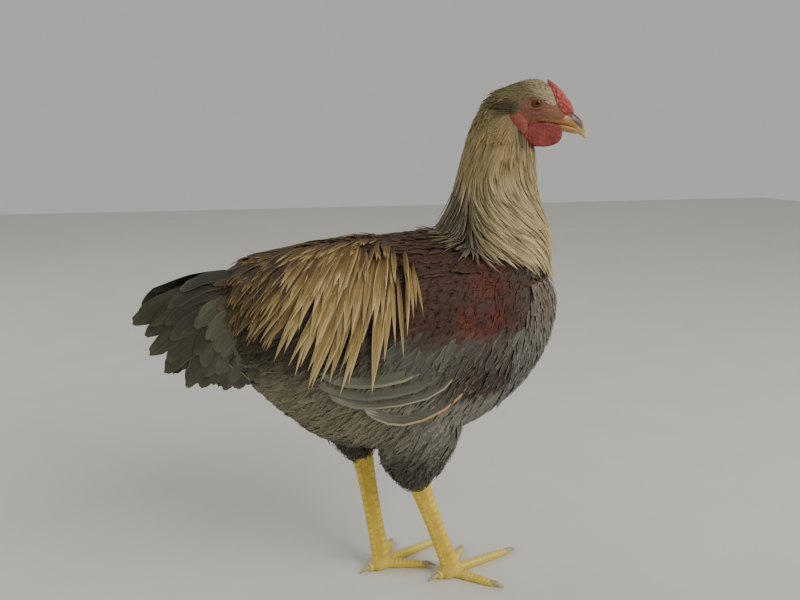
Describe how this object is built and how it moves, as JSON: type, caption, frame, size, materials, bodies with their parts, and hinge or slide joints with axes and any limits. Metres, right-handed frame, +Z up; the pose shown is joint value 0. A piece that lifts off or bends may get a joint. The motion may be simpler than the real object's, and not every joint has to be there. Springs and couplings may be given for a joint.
{
  "type": "wyandotte rooster",
  "caption": "Life-size wyandotte rooster standing on both feet, head turned slightly right, rose comb, golden hackle and saddle, low grey tail.",
  "frame": {"origin": "on the floor, under the middle of the bird's overall length and width", "axes": "+X the way the body faces, +Y its left side, +Z up"},
  "size_m": [0.4, 0.1736, 0.4788],
  "materials": {
    "face_skin": "bare brown-red skin",
    "comb_skin": "bare crimson skin",
    "beak_horn": "satin horn",
    "eye": "wet orange-brown iris",
    "hackle_feather": "straw-gold feathers with dark shaft streaks",
    "body_feather": "slate grey feathers with paler edges",
    "tail_feather": "black and slate grey feathers",
    "wing_feather": "mahogany and grey feathers",
    "leg_skin": "yellow scaly skin",
    "claw_horn": "pale horn"
  },
  "bodies": {
    "root": {"head": "face_skin", "comb": "comb_skin", "beak_upper": "beak_horn", "beak_lower": "beak_horn", "wattle_left": "comb_skin", "wattle_right": "comb_skin", "eye_left": "eye", "eye_right": "eye", "neck": "hackle_feather", "torso": "body_feather", "tail": "tail_feather", "wing_left": "wing_feather", "wing_right": "wing_feather", "thigh_left": "body_feather", "thigh_right": "body_feather", "shank_left": "leg_skin", "shank_right": "leg_skin", "toe_left_middle": "leg_skin", "claw_left_middle": "claw_horn", "toe_left_outer": "leg_skin", "claw_left_outer": "claw_horn", "toe_left_inner": "leg_skin", "claw_left_inner": "claw_horn", "toe_left_hind": "leg_skin", "claw_left_hind": "claw_horn", "toe_right_middle": "leg_skin", "claw_right_middle": "claw_horn", "toe_right_outer": "leg_skin", "claw_right_outer": "claw_horn", "toe_right_inner": "leg_skin", "claw_right_inner": "claw_horn", "toe_right_hind": "leg_skin", "claw_right_hind": "claw_horn"}
  },
  "joints": []
}
